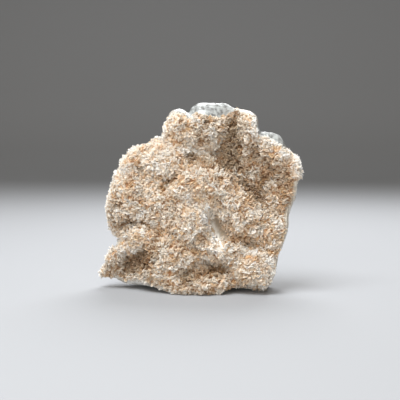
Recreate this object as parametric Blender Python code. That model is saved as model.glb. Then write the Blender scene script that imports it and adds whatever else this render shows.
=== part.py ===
"""A hand specimen of stilbite on chalcedony, standing on its broken base.

Two solids: the chalcedony plate, and the crust of stilbite crystals grown over its front.
The frame has +Z up and the crystal face towards -Y, and its origin is under the middle.
Every size below is in millimetres; MM turns it into Blender's metres.
"""

import math
import random

import bmesh
import bpy
from mathutils import Matrix, Vector
from mathutils.bvhtree import BVHTree

MM = 0.001

# --- Driving dimensions -------------------------------------------------------------------------
CRYSTAL_WIDE = 2.9  # width of a crystal at its root
CRYSTAL_TALL = 2.2  # mean height of a crystal above the bed
PLATE_STEP = 2 * CRYSTAL_WIDE  # side of one face of the plate's skin
NET_TURN = 27.0  # how far the rows of that skin are turned from level, in degrees
BLANK_ROWS = 4  # rows of faces through the depth of the flat blank
CRUST_GAP = 0.3  # clearance between the crust and the plate
BED_THICK = 1.3  # crystals grown together at their roots
BED_EDGE = 1.0  # the same at the crust's margin
RIM_COVER = 2.6  # how far the crust stands out past the plate where it wraps the rim

PLATE_MID = 4.0  # depth of the plate's middle surface at x = 0
PLATE_YAW = -0.10  # its slope: the left side stands further back
SNAP = 0.55  # how near the rim a corner of the skin is drawn onto it, in faces of the skin
THINNEST = 1.8  # least half thickness of the plate
RIM_ROUND = 8.0  # width of the rounded margin
RIM_FRONT = 0.42  # share of the front's thickness left at the rim
RIM_BACK = 0.50  # share of the back's thickness left at the rim
RIM_ROLL = 1.6  # how far a rounded rim's two edges roll in
BREAK_LEAN = 4.0  # how far the broken flank's front edge stands in from its back edge
RELIEF = 1.5  # how much prouder the front's lobes are than the sizes listed below
WEAR = 0.4  # how far sharp turns in the plate's skin are eased each round
WEAR_ROUNDS = 3
BLEND = 0.9  # softness of the crease where two lobes meet
BED_JITTER = 0.35  # how far the crystals' roots wander from an even net
CRYSTAL_LEAN = 0.28  # how far crystals lean at random from square, as a slope
FACING = Vector((0.0, -1.0, 0.0))  # the way that the specimen's front looks
FORWARD = 0.25  # how far crystals lean that way
TALL_RANGE = (0.6, 1.25)  # shortest and longest crystal, as shares of the mean
MARGIN_SHRINK = 0.55  # share of its height that a crystal at the crust's margin reaches
CREASE_SHRINK = 0.6  # share of its height that a crystal loses in the deepest crease
BLADE_SHARE = 0.4  # share of the crystals that end in a chisel edge and not in a point
EDGE_SHARE = 0.5  # length of a chisel edge, as a share of the crystal's root
DEEP_BEND = 2.5  # total bend round a root, in radians, at which a crease is deepest
CUT_TO = 0.7  # share of its height that a crystal keeps each time it is cut back
CUT_ROUNDS = 12  # most times that crystals are cut back
SEED = 11

WRAP_TO = 0.3  # how far round the rim the crystals go, where 0 is mid depth and 1 the back
BASE_BAND = 6.0  # height over which the crust grows level, off the resting face

WRAPPED = "crystals wrap the rim"
ROUNDED = "bare rounded chalcedony"
BROKEN = "bare broken face"
RESTING = "flat resting face"
KINDS = [WRAPPED, ROUNDED, BROKEN, RESTING]

# The outline seen from the front, clockwise: x, z, and the rim from that point to the next.
OUTLINE = [
    # the toe and the tip, low on the left
    (-24.0, 0.8, ROUNDED),
    (-31.0, 2.0, ROUNDED),
    (-38.0, 2.2, ROUNDED),
    (-47.0, 3.0, ROUNDED),
    (-52.0, 4.6, WRAPPED),
    (-61.0, 5.6, WRAPPED),
    (-63.8, 9.2, WRAPPED),
    (-60.0, 17.0, WRAPPED),
    (-56.5, 22.5, WRAPPED),
    (-51.5, 26.5, WRAPPED),
    (-48.5, 30.0, WRAPPED),
    # the left lobe, above the notch
    (-54.5, 32.3, WRAPPED),
    (-57.6, 38.5, WRAPPED),
    (-58.6, 46.5, WRAPPED),
    (-58.0, 57.5, WRAPPED),
    (-55.0, 65.5, WRAPPED),
    (-51.5, 73.5, WRAPPED),
    (-50.0, 78.5, WRAPPED),
    (-47.0, 83.0, WRAPPED),
    (-41.0, 88.5, WRAPPED),
    (-32.0, 91.0, WRAPPED),
    (-27.0, 93.8, WRAPPED),
    (-23.5, 90.0, WRAPPED),
    # the crown
    (-22.0, 102.5, WRAPPED),
    (-19.8, 108.4, ROUNDED),
    (-16.5, 110.4, ROUNDED),
    (-12.5, 110.7, ROUNDED),
    (-9.3, 109.5, ROUNDED),
    (-6.6, 107.2, ROUNDED),
    (-4.6, 111.5, ROUNDED),
    (-0.5, 114.0, ROUNDED),
    (7.5, 114.3, ROUNDED),
    (16.5, 113.6, ROUNDED),
    (20.5, 112.4, WRAPPED),
    (25.5, 111.2, ROUNDED),
    (30.2, 109.5, ROUNDED),
    (34.3, 106.4, ROUNDED),
    (35.8, 101.0, ROUNDED),
    (36.6, 96.4, ROUNDED),
    # the right shoulder and cheek
    (43.8, 96.6, ROUNDED),
    (49.0, 94.4, ROUNDED),
    (52.8, 88.8, WRAPPED),
    (57.5, 84.5, WRAPPED),
    (61.0, 80.0, WRAPPED),
    (62.6, 73.0, WRAPPED),
    (61.2, 67.0, BROKEN),
    # the broken right flank, down to the foot
    (60.4, 61.5, BROKEN),
    (59.6, 57.5, BROKEN),
    (57.2, 51.5, BROKEN),
    (54.8, 45.4, BROKEN),
    (55.0, 38.8, BROKEN),
    (53.3, 31.0, BROKEN),
    (50.2, 23.5, BROKEN),
    (48.5, 18.5, BROKEN),
    (47.8, 12.5, BROKEN),
    (45.6, 6.5, BROKEN),
    (43.4, 1.2, BROKEN),
    (41.5, 0.0, RESTING),
    (33.5, 0.0, ROUNDED),
    # the arch between the foot and the belly, and the belly's resting face
    (25.0, 1.8, ROUNDED),
    (19.0, 1.6, ROUNDED),
    (15.0, 0.0, RESTING),
    (-20.0, 0.0, ROUNDED),
]

# Rounded lobes of the front: x, z, half width, half height, turn in degrees, top, drop at the edge.
# The top is measured from the plate's middle surface to the tips of the crystals.
LOBES = {
    "sheet": (0.0, 55.0, 240.0, 240.0, 0, 3.0, 1.0),
    "crown_left": (-14.0, 98.0, 7.5, 14.0, 5, 9.5, 3.5),
    "crown_middle": (2.0, 99.0, 12.0, 13.0, 0, 8.5, 3.5),
    "crown_right": (31.0, 100.0, 5.5, 13.0, 15, 8.5, 4.0),
    "shoulder": (45.5, 83.5, 14.0, 5.5, -38, 7.0, 3.0),
    "cheek": (58.0, 73.0, 4.5, 10.5, -5, 7.0, 2.5),
    "hollow_upper": (35.0, 70.5, 10.5, 6.0, -25, 3.8, 2.0),
    "hollow_lower": (50.5, 58.0, 7.0, 9.5, -20, 3.4, 2.0),
    "centre_top": (0.0, 65.0, 19.0, 13.0, -14, 14.5, 4.5),
    "centre_right": (22.5, 50.0, 20.0, 11.0, -38, 13.5, 4.5),
    "right_face": (38.0, 36.0, 15.5, 14.0, 0, 11.0, 4.0),
    "brow": (-19.0, 81.0, 13.0, 7.0, 8, 11.0, 3.5),
    "far_brow": (-43.0, 79.0, 8.5, 9.5, 40, 8.5, 3.5),
    "left_lobe": (-45.0, 57.0, 14.0, 17.5, 0, 11.0, 4.5),
    "left_inner": (-24.0, 52.0, 14.0, 14.0, 0, 12.0, 4.0),
    "ridge": (-36.5, 34.5, 15.5, 5.5, 22, 11.5, 3.5),
    "tip": (-56.0, 19.0, 5.0, 12.0, -38, 6.5, 3.5),
    "toe": (-40.5, 8.0, 10.5, 3.5, -8, 6.0, 3.0),
    "belly_left": (-18.0, 22.5, 16.5, 15.5, 10, 15.5, 4.5),
    "belly_low": (-3.5, 5.5, 22.5, 7.0, 0, 17.0, 4.5),
    "saddle": (12.0, 28.0, 13.0, 7.5, -10, 14.0, 3.0),
    "lower_right": (31.5, 15.0, 16.5, 10.5, 0, 14.0, 4.5),
    "middle": (-7.0, 40.5, 15.5, 15.5, 0, 14.5, 4.0),
}

# Hollows sunk into the front: x, z, half width, half height, turn in degrees, depth.
HOLLOWS = {
    "gully": (19.5, 98.0, 5.0, 12.0, -8, 5.2),
    "gully_foot": (13.0, 85.0, 12.0, 5.5, 12, 3.8),
    "pit": (-6.5, 82.0, 2.5, 3.0, 0, 4.5),
    "crease": (-18.0, 66.0, 3.5, 4.0, -40, 4.0),
    "crease_top": (-11.5, 74.5, 3.0, 5.5, -50, 2.5),
    "brow_pit": (-35.0, 75.5, 4.0, 3.0, 0, 2.5),
    "armpit": (-39.0, 40.0, 7.5, 3.0, 0, 3.0),
    "cave": (-32.5, 26.0, 4.0, 4.0, 0, 4.5),
    "cave_mouth": (-44.0, 17.5, 10.5, 4.5, 38, 5.0),
    "fold": (8.5, 14.5, 9.5, 5.0, 12, 4.0),
    "fold_left": (-7.5, 9.5, 4.0, 4.0, 0, 3.0),
    "fold_right": (28.0, 5.5, 10.5, 3.0, 0, 2.5),
    "bruise": (11.5, 39.0, 4.5, 9.0, 32, 2.4),
    "dimple": (31.5, 32.0, 7.0, 5.5, 0, 2.2),
    "ledge": (27.5, 64.5, 12.0, 2.8, -36, 3.6),
    "ledge_low": (43.5, 52.5, 8.5, 3.0, -38, 2.6),
}

# Rounded lobes of the back, in the lobes' terms, measured from the plate's middle surface.
BACK_LOBES = {
    "back_sheet": (0.0, 50.0, 240.0, 240.0, 0, 9.0, 1.0),
    "heel": (-2.0, 6.0, 34.0, 16.0, 0, 21.0, 5.0),
    "heel_right": (36.0, 10.0, 12.0, 12.0, 10, 15.0, 5.0),
    "back_centre": (6.0, 48.0, 28.0, 22.0, 15, 19.0, 5.0),
    "back_left": (-34.0, 50.0, 18.0, 20.0, 0, 14.0, 4.0),
    "back_right": (42.0, 66.0, 14.0, 17.0, -10, 13.0, 4.0),
    "back_brow": (-26.0, 80.0, 18.0, 11.0, 20, 12.5, 3.5),
    "back_crown": (9.0, 97.0, 20.0, 14.0, 0, 13.0, 4.0),
}

# Places on the front where the chalcedony stays bare: x, z, half width, half height, turn.
BARE_PATCHES = {
    "crown": (7.5, 112.0, 15.5, 9.5, 0),
    "crown_cap": (-13.0, 111.5, 8.0, 5.0, 0),
    "shoulder": (45.0, 96.5, 11.5, 6.5, -28),
    "bruise": (12.0, 37.5, 3.6, 8.5, 32),
    "toe": (-37.0, 1.0, 9.0, 4.5, -6),
}

PEACH = (0.78, 0.56, 0.38, 1.0)
PALE_GREY = (0.72, 0.73, 0.70, 1.0)


# --- The plate's shape --------------------------------------------------------------------------
def squared_reach(x, z, oval):
    """How far (x, z) lies from an oval's middle, squared, where 1 is on the oval itself."""
    middle_x, middle_z, half_wide, half_tall, turn = oval[:5]
    angle = math.radians(turn)
    across, up = x - middle_x, z - middle_z
    along = (across * math.cos(angle) + up * math.sin(angle)) / half_wide
    aside = (up * math.cos(angle) - across * math.sin(angle)) / half_tall
    return along * along + aside * aside


def joined_lobes(x, z, lobes):
    """The height of domes that meet in soft creases."""
    total = 0.0
    for lobe in lobes.values():
        top, drop = lobe[5:]
        rise = top - drop * squared_reach(x, z, lobe)
        total += math.exp(max(rise / BLEND, -60.0))
    return BLEND * math.log(total)


def front_height(x, z):
    """From the middle surface to the plate's own front, under the crust."""
    height = joined_lobes(x, z, LOBES)
    for hollow in HOLLOWS.values():
        height -= hollow[5] * math.exp(-squared_reach(x, z, hollow))
    return RELIEF * height - CRUST_GAP - BED_THICK - CRYSTAL_TALL / 2


class Rim:
    """The plate's outline: the specimen's, drawn in where crystals wrap the edge."""

    def __init__(self):
        corners = [Vector((x, z)) for x, z, _ in OUTLINE]
        self.kinds = [kind for _, _, kind in OUTLINE]
        self.corners = []
        for i, corner in enumerate(corners):
            run = (corners[(i + 1) % len(corners)] - corners[i - 1]).normalized()
            wrapped = (self.kinds[i], self.kinds[i - 1]).count(WRAPPED)
            drawn_in = RIM_COVER * wrapped / 2
            self.corners.append(corner + Vector((run.y, -run.x)) * drawn_in)

    def nearest(self, point, kinds):
        """The nearest point on a rim of these kinds, its distance, the inward way and the kind."""
        best = (None, 1e9, None, None)
        for i, start in enumerate(self.corners):
            if self.kinds[i] not in kinds:
                continue
            side = self.corners[(i + 1) % len(self.corners)] - start
            share = min(max((point - start).dot(side) / side.length_squared, 0.0), 1.0)
            found = start + side * share
            distance = (point - found).length
            if distance < best[1]:
                inward = Vector((side.y, -side.x)).normalized()
                best = (found, distance, inward, self.kinds[i])
        return best


def plate_blank(rim):
    """A flat blank of the outline's shape, whose skin is one even net of four-sided faces."""
    depth = BLANK_ROWS * PLATE_STEP
    turn = Matrix.Rotation(math.radians(NET_TURN), 4, "Y")
    bm = bmesh.new()
    front = bm.faces.new([bm.verts.new(turn @ Vector((p.x, -depth / 2, p.y))) for p in rim.corners])
    pulled = bmesh.ops.extrude_face_region(bm, geom=[front])["geom"]
    moved = [item for item in pulled if isinstance(item, bmesh.types.BMVert)]
    bmesh.ops.translate(bm, verts=moved, vec=(0, depth, 0))
    bmesh.ops.recalc_face_normals(bm, faces=bm.faces)
    mesh = bpy.data.meshes.new("blank")
    bm.to_mesh(mesh)
    bm.free()
    blank = bpy.data.objects.new("blank", mesh)
    bpy.context.scene.collection.objects.link(blank)
    net = blank.modifiers.new("net", "REMESH")
    net.mode = "VOXEL"
    net.voxel_size = PLATE_STEP
    graph = bpy.context.evaluated_depsgraph_get()
    even = bpy.data.meshes.new_from_object(blank.evaluated_get(graph))
    bpy.data.objects.remove(blank)
    even.transform(turn.inverted())
    return even


def grows_crystals(face, plate):
    """Whether crystals cover a face of the plate: the front, and the wrapped rims to mid depth."""
    through = plate.verts.layers.float["through"]
    kind = plate.verts.layers.int["kind"]
    middle = face.calc_center_median()
    if any(squared_reach(middle.x, middle.z, patch) < 1.0 for patch in BARE_PATCHES.values()):
        return False
    mean = sum(v[through] for v in face.verts) / len(face.verts)
    rims = [KINDS[v[kind]] for v in face.verts if v[kind] >= 0]
    if len(rims) == len(face.verts):
        return rims.count(WRAPPED) * 2 > len(rims) and mean < WRAP_TO
    return mean < 0.0


def shaped_plate(rim):
    """The plate: the blank, pulled out to the outline and swollen into its lobes.

    Layers on its corners keep how far through the plate each one is, from -1 at the front to 1 at
    the back, and the kind of rim it is on. Layers on its faces and edges keep which faces crystals
    cover, and which edges only halve a four-sided face.
    """
    bm = bmesh.new()
    bm.from_mesh(plate_blank(rim))
    depth_layer = bm.verts.layers.float.new("through")
    kind_layer = bm.verts.layers.int.new("kind")
    deepest = max(abs(v.co.y) for v in bm.verts)
    for v in bm.verts:
        through = max(-1.0, min(1.0, v.co.y / deepest))
        flat = Vector((v.co.x, v.co.z))
        edge, distance, inward, kind = rim.nearest(flat, KINDS)
        v[depth_layer] = through
        v[kind_layer] = -1
        if distance < SNAP * PLATE_STEP:
            roll = {
                WRAPPED: RIM_ROLL * through * through,
                ROUNDED: RIM_ROLL * through * through,
                BROKEN: BREAK_LEAN * (1.0 - through) / 2,
                RESTING: 0.0,
            }[kind]
            flat = edge + inward * roll
            v[kind_layer] = KINDS.index(kind)
        margin = rim.nearest(flat, (WRAPPED, ROUNDED))[1]
        share = min(margin / RIM_ROUND, 1.0)
        dome = math.sqrt(1.0 - (1.0 - share) ** 2)
        middle = PLATE_MID + PLATE_YAW * flat.x
        if through < 0:
            half = front_height(flat.x, flat.y) * (RIM_FRONT + (1 - RIM_FRONT) * dome)
            depth = -max(half, THINNEST)
        else:
            half = joined_lobes(flat.x, flat.y, BACK_LOBES)
            depth = half * (RIM_BACK + (1 - RIM_BACK) * dome)
        v.co = Vector((flat.x, middle + abs(through) * depth, flat.y))
    inner = [v for v in bm.verts if v[kind_layer] < 0]
    for _ in range(WEAR_ROUNDS):
        bmesh.ops.smooth_vert(bm, verts=inner, factor=WEAR, use_axis_y=True)
    is_covered = bm.faces.layers.int.new("covered")
    is_diagonal = bm.edges.layers.int.new("diagonal")
    for face in bm.faces:
        face[is_covered] = grows_crystals(face, bm)
    halves = bmesh.ops.triangulate(bm, faces=bm.faces, quad_method="BEAUTY")
    for edge in halves["edges"]:
        edge[is_diagonal] = 1
    bm.normal_update()
    return bm


# --- The crust ----------------------------------------------------------------------------------
def drop_pinches(sheet):
    """Trim a sheet of faces until no two of them meet at a corner alone, and keep its main part."""
    while True:
        pinched = [v for v in sheet.verts if sum(e.is_boundary for e in v.link_edges) > 2]
        if not pinched:
            break
        bmesh.ops.delete(sheet, geom=[pinched[0].link_faces[0]], context="FACES")
    islands = []
    left = set(sheet.faces)
    while left:
        island = {left.pop()}
        fresh = list(island)
        while fresh:
            near = {f for e in fresh.pop().edges for f in e.link_faces} & left
            left -= near
            island |= near
            fresh += near
        islands.append(island)
    islands.sort(key=len)
    strays = [f for island in islands[:-1] for f in island]
    bmesh.ops.delete(sheet, geom=strays, context="FACES")


def crust_sheet(plate):
    """The plate's covered faces alone, moved off it by the gap, with the way out at each corner."""
    sheet = plate.copy()
    is_covered = sheet.faces.layers.int["covered"]
    out = sheet.verts.layers.float_vector.new("out")
    for v in sheet.verts:
        way = v.normal.copy()
        if v.co.z < BASE_BAND:
            way.z *= max(v.co.z, 0.0) / BASE_BAND
        v[out] = way.normalized()
    bare = [f for f in sheet.faces if not f[is_covered]]
    bmesh.ops.delete(sheet, geom=bare, context="FACES")
    drop_pinches(sheet)
    for v in sheet.verts:
        v.co += v[out] * CRUST_GAP
        v.co.z = max(v.co.z, 0.0)
    return sheet


def thicken(sheet, chance):
    """Give the sheet its bed of joined roots, in faces a crystal wide, and return those faces."""
    out = sheet.verts.layers.float_vector["out"]
    is_bed = sheet.faces.layers.int.new("bed")
    is_diagonal = sheet.edges.layers.int["diagonal"]
    margin = {v for v in sheet.verts if v.is_boundary}
    pulled = bmesh.ops.extrude_face_region(sheet, geom=sheet.faces[:])["geom"]
    corners = [item for item in pulled if isinstance(item, bmesh.types.BMVert)]
    for v in corners:
        on_margin = any(e.other_vert(v) in margin for e in v.link_edges)
        v.co += v[out] * (BED_EDGE if on_margin else BED_THICK)
    for item in pulled:
        if isinstance(item, bmesh.types.BMFace):
            item[is_bed] = 1
    diagonals = [e for e in sheet.edges if e[is_diagonal] and all(f[is_bed] for f in e.link_faces)]
    bmesh.ops.dissolve_edges(sheet, edges=diagonals)
    edges = [e for e in sheet.edges if any(f[is_bed] for f in e.link_faces)]
    bmesh.ops.subdivide_edges(sheet, edges=edges, cuts=1, use_grid_fill=True)
    bmesh.ops.recalc_face_normals(sheet, faces=sheet.faces)
    for v in sheet.verts:
        if all(f[is_bed] for f in v.link_faces):
            v.co += Vector([chance.uniform(-BED_JITTER, BED_JITTER) for _ in range(3)])
        v.co.z = max(v.co.z, 0.0)
    return [f for f in sheet.faces if f[is_bed]]


def hollowness(face):
    """0 where a face of the bed stands on a bulge or a flat, up to 1 deep in a crease."""
    bends = [-e.calc_face_angle_signed(0.0) for e in face.edges]
    return min(max(sum(bends) / DEEP_BEND, 0.0), 1.0)


def grow_crystal(bed, face, near_margin, chance):
    """Turn one face of the bed into a crystal: a pointed one, or a blade with a chisel edge."""
    ring = face.verts[:]
    root = face.calc_center_median()
    lean = Vector([chance.gauss(0.0, CRYSTAL_LEAN) for _ in range(3)])
    way = (face.normal + FACING * FORWARD + lean).normalized()
    tall = CRYSTAL_TALL * chance.uniform(*TALL_RANGE)
    tall *= 1.0 - CREASE_SHRINK * hollowness(face)
    if near_margin:
        tall *= MARGIN_SHRINK
    tip = root + way * tall
    tip.z = max(tip.z, 0.0)
    bed.faces.remove(face)
    if len(ring) == 4 and chance.random() < BLADE_SHARE:
        turn = chance.randrange(2)
        ring = ring[turn:] + ring[:turn]
        along = ((ring[0].co + ring[1].co) - (ring[2].co + ring[3].co)) / 2
        half = along * EDGE_SHARE / 2
        ends = [bed.verts.new(tip + half), bed.verts.new(tip - half)]
        for end in ends:
            end.co.z = max(end.co.z, 0.0)
        bed.faces.new((ring[0], ring[1], ends[0]))
        bed.faces.new((ring[1], ring[2], ends[1], ends[0]))
        bed.faces.new((ring[2], ring[3], ends[1]))
        bed.faces.new((ring[3], ring[0], ends[0], ends[1]))
        return ends
    point = bed.verts.new(tip)
    for i, corner in enumerate(ring):
        bed.faces.new((corner, ring[(i + 1) % len(ring)], point))
    return [point]


def cut_back(crust, tips):
    """Shorten the crystals that run into a neighbour, until none does.

    The tips are a list for each crystal, of the one or two corners at its end.
    """
    for _ in range(CUT_ROUNDS):
        crust.verts.index_update()
        crust.faces.index_update()
        crust.faces.ensure_lookup_table()
        tree = BVHTree.FromBMesh(crust)
        struck = set()
        for first, second in tree.overlap(tree):
            pair = crust.faces[first], crust.faces[second]
            if not set(pair[0].verts) & set(pair[1].verts):
                struck.update(pair)
        shortened = [ends for ends in tips if any(f in struck for v in ends for f in v.link_faces)]
        if not shortened:
            break
        for ends in shortened:
            around = [e.other_vert(v).co for v in ends for e in v.link_edges]
            root = sum(around, Vector()) / len(around)
            for v in ends:
                v.co = root + (v.co - root) * CUT_TO


def crystal_crust(plate):
    """The crust as one closed solid: a bed of joined roots, and a crystal on every face of it."""
    chance = random.Random(SEED)
    crust = crust_sheet(plate)
    bed = thicken(crust, chance)
    is_bed = crust.faces.layers.int["bed"]
    margin = {v for f in crust.faces if not f[is_bed] for v in f.verts}
    crust.normal_update()
    tips = []
    for face in bed:
        near_margin = any(v in margin for v in face.verts)
        tips.append(grow_crystal(crust, face, near_margin, chance))
    bmesh.ops.triangulate(crust, faces=crust.faces)
    cut_back(crust, tips)
    bmesh.ops.recalc_face_normals(crust, faces=crust.faces)
    return crust


# --- The finished solids ------------------------------------------------------------------------
def stone_material(name, colour, roughness):
    material = bpy.data.materials.new(name)
    material.use_nodes = True
    surface = material.node_tree.nodes["Principled BSDF"]
    surface.inputs["Base Color"].default_value = colour
    surface.inputs["Roughness"].default_value = roughness
    surface.inputs["Metallic"].default_value = 0.0
    return material


def finish(name, bm, shift, material):
    """Place a solid in the frame, in metres."""
    bmesh.ops.translate(bm, verts=bm.verts, vec=shift)
    bmesh.ops.scale(bm, vec=(MM, MM, MM), verts=bm.verts)
    mesh = bpy.data.meshes.new(name)
    bm.to_mesh(mesh)
    bm.free()
    mesh.materials.append(material)
    bpy.context.scene.collection.objects.link(bpy.data.objects.new(name, mesh))


def shift_to_origin(solids):
    """The move that puts the origin at the base, in the middle of the specimen's box."""
    points = [v.co for bm in solids for v in bm.verts]
    lows = [min(p[i] for p in points) for i in range(3)]
    highs = [max(p[i] for p in points) for i in range(3)]
    return Vector((-(lows[0] + highs[0]) / 2, -(lows[1] + highs[1]) / 2, -lows[2]))


def main():
    for obj in list(bpy.data.objects):
        bpy.data.objects.remove(obj)
    plate = shaped_plate(Rim())
    crust = crystal_crust(plate)
    shift = shift_to_origin([plate, crust])
    finish("chalcedony_matrix", plate, shift, stone_material("chalcedony", PALE_GREY, 0.45))
    finish("stilbite_crust", crust, shift, stone_material("stilbite", PEACH, 0.4))


main()
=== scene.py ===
import math

import bmesh
import bpy
import numpy as np
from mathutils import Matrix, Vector, noise


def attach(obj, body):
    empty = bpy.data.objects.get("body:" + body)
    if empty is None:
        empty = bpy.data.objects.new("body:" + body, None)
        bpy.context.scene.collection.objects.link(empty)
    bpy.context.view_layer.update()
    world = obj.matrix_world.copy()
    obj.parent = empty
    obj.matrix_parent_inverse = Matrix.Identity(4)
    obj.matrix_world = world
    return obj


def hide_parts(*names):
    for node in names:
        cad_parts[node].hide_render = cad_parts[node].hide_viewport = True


# %% [markdown]
# # A hand specimen of stilbite on chalcedony
#
# The specimen is a lobed plate of grey-white chalcedony. Its front is crusted with thousands of
# peach-cream stilbite blades, most of them one to three millimetres long. The solids under this
# scene have the plate and a coarse crust, so this lesson gives the plate a fine skin, lays a bed of
# joined roots on it, and then plants the blades in small sheaves. Sizes are in millimetres, and MM
# turns them into Blender's metres.

# %% Load the solids and measure their box
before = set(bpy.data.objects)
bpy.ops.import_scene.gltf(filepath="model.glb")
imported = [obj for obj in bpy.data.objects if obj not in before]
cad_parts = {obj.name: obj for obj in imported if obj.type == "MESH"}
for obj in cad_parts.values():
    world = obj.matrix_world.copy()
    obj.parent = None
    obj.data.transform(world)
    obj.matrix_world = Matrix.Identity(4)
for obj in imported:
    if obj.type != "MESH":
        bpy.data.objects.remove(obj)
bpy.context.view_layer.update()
MM = 0.001

# %% [markdown]
# ## The outline and the lobes
#
# A natural form like this one has no straight edges or circles to build from. It could be sculpted
# by hand, but sizes that can be named are easier to correct. So the plate is described in two
# steps: an outline seen from the front, and a list of rounded lobes and hollows that swell and sink
# its face. Each rim says whether crystals wrap it, or whether the chalcedony is bare there.

# %% The outline, clockwise from the toe: x, z, and the rim from that point to the next
WRAPPED, ROUNDED, BROKEN, RESTING = range(4)
OUTLINE = [
    (-24.0, 0.8, ROUNDED), (-31.0, 2.0, ROUNDED), (-38.0, 2.2, ROUNDED), (-47.0, 3.0, ROUNDED),
    (-52.0, 4.6, WRAPPED), (-61.0, 5.6, WRAPPED), (-63.8, 9.2, WRAPPED), (-60.0, 17.0, WRAPPED),
    (-57.8, 23.4, WRAPPED), (-52.6, 27.6, WRAPPED), (-48.8, 30.0, WRAPPED), (-54.5, 32.3, WRAPPED),
    (-58.0, 38.5, WRAPPED), (-59.6, 46.5, WRAPPED), (-58.0, 57.5, WRAPPED), (-55.0, 65.5, WRAPPED),
    (-51.5, 73.5, WRAPPED), (-50.0, 78.5, WRAPPED), (-47.0, 83.0, WRAPPED), (-41.0, 88.5, WRAPPED),
    (-32.0, 91.0, WRAPPED), (-27.0, 93.8, WRAPPED), (-23.5, 90.0, WRAPPED), (-22.0, 102.5, WRAPPED),
    (-19.8, 108.4, ROUNDED), (-16.5, 110.4, ROUNDED), (-12.5, 110.7, ROUNDED), (-9.3, 109.5, ROUNDED),
    (-6.6, 107.2, ROUNDED), (-4.6, 111.5, ROUNDED), (-0.5, 114.0, ROUNDED), (7.5, 114.3, ROUNDED),
    (16.5, 113.6, ROUNDED), (20.5, 112.4, WRAPPED), (25.5, 111.2, ROUNDED), (30.2, 109.5, ROUNDED),
    (34.3, 106.4, ROUNDED), (35.8, 101.0, ROUNDED), (36.6, 96.4, ROUNDED), (43.8, 96.6, ROUNDED),
    (49.0, 94.4, ROUNDED), (52.8, 88.8, WRAPPED), (57.5, 84.5, WRAPPED), (61.0, 80.0, WRAPPED),
    (62.6, 73.0, WRAPPED), (60.9, 64.5, BROKEN), (60.4, 61.5, BROKEN), (59.6, 57.5, BROKEN),
    (57.2, 51.5, BROKEN), (54.8, 45.4, BROKEN), (55.0, 38.8, BROKEN), (53.3, 31.0, BROKEN),
    (50.2, 23.5, BROKEN), (48.5, 18.5, BROKEN), (47.8, 12.5, BROKEN), (45.6, 6.5, BROKEN),
    (43.4, 1.2, BROKEN), (41.5, 0.0, RESTING), (33.5, 0.0, ROUNDED), (25.0, 1.8, ROUNDED),
    (19.0, 1.6, ROUNDED), (15.0, 0.0, RESTING), (-20.0, 0.0, ROUNDED),
]
PART_SHIFT = Vector((0.05, -2.81, 0.0))  # from the outline's own zero to the frame's origin
print("outline points:", len(OUTLINE))

# %% The lobes of the front: x, z, half width, half height, turn in degrees, top, drop at the edge
LOBES = {
    "sheet": (0.0, 55.0, 240.0, 240.0, 0, 3.0, 1.0),
    "crown_left": (-14.0, 98.0, 7.5, 14.0, 5, 9.5, 3.5),
    "crown_middle": (2.0, 99.0, 12.0, 13.0, 0, 8.5, 3.5),
    "crown_right": (31.0, 100.0, 5.5, 13.0, 15, 8.5, 4.0),
    "shoulder": (45.5, 83.5, 14.0, 5.5, -38, 7.0, 3.0),
    "cheek": (58.0, 73.0, 4.5, 10.5, -5, 7.0, 2.5),
    "hollow_upper": (35.0, 70.5, 10.5, 6.0, -25, 3.8, 2.0),
    "hollow_lower": (50.5, 58.0, 7.0, 9.5, -20, 3.4, 2.0),
    "centre_top": (0.0, 65.0, 19.0, 13.0, -14, 14.5, 4.5),
    "centre_right": (22.5, 50.0, 20.0, 11.0, -38, 13.5, 4.5),
    "right_face": (38.0, 36.0, 15.5, 14.0, 0, 11.0, 4.0),
    "brow": (-20.0, 78.0, 13.0, 9.5, 8, 11.0, 3.2),
    "far_brow": (-43.0, 79.0, 8.5, 9.5, 40, 8.5, 3.5),
    "left_lobe": (-45.0, 57.0, 14.0, 17.5, 0, 11.0, 4.5),
    "left_inner": (-24.0, 52.0, 14.0, 14.0, 0, 12.0, 4.0),
    "ridge": (-37.0, 33.0, 15.5, 6.8, 22, 11.5, 3.5),
    "tip": (-55.5, 20.0, 6.5, 12.0, -38, 7.5, 3.5),
    "toe": (-40.5, 8.0, 10.5, 3.5, -8, 6.0, 3.0),
    "belly_left": (-18.0, 22.5, 16.5, 15.5, 10, 15.5, 4.5),
    "belly_low": (-3.5, 5.5, 22.5, 7.0, 0, 17.0, 4.5),
    "saddle": (12.0, 28.0, 13.0, 7.5, -10, 14.0, 3.0),
    "lower_right": (31.5, 15.0, 16.5, 10.5, 0, 14.0, 4.5),
    "middle": (-7.0, 40.5, 15.5, 15.5, 0, 14.5, 4.0),
    "heart": (3.0, 51.5, 8.0, 8.0, 0, 15.0, 4.0),
    "centre_foot": (26.0, 40.0, 9.0, 7.0, -20, 12.3, 4.0),
}

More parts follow.
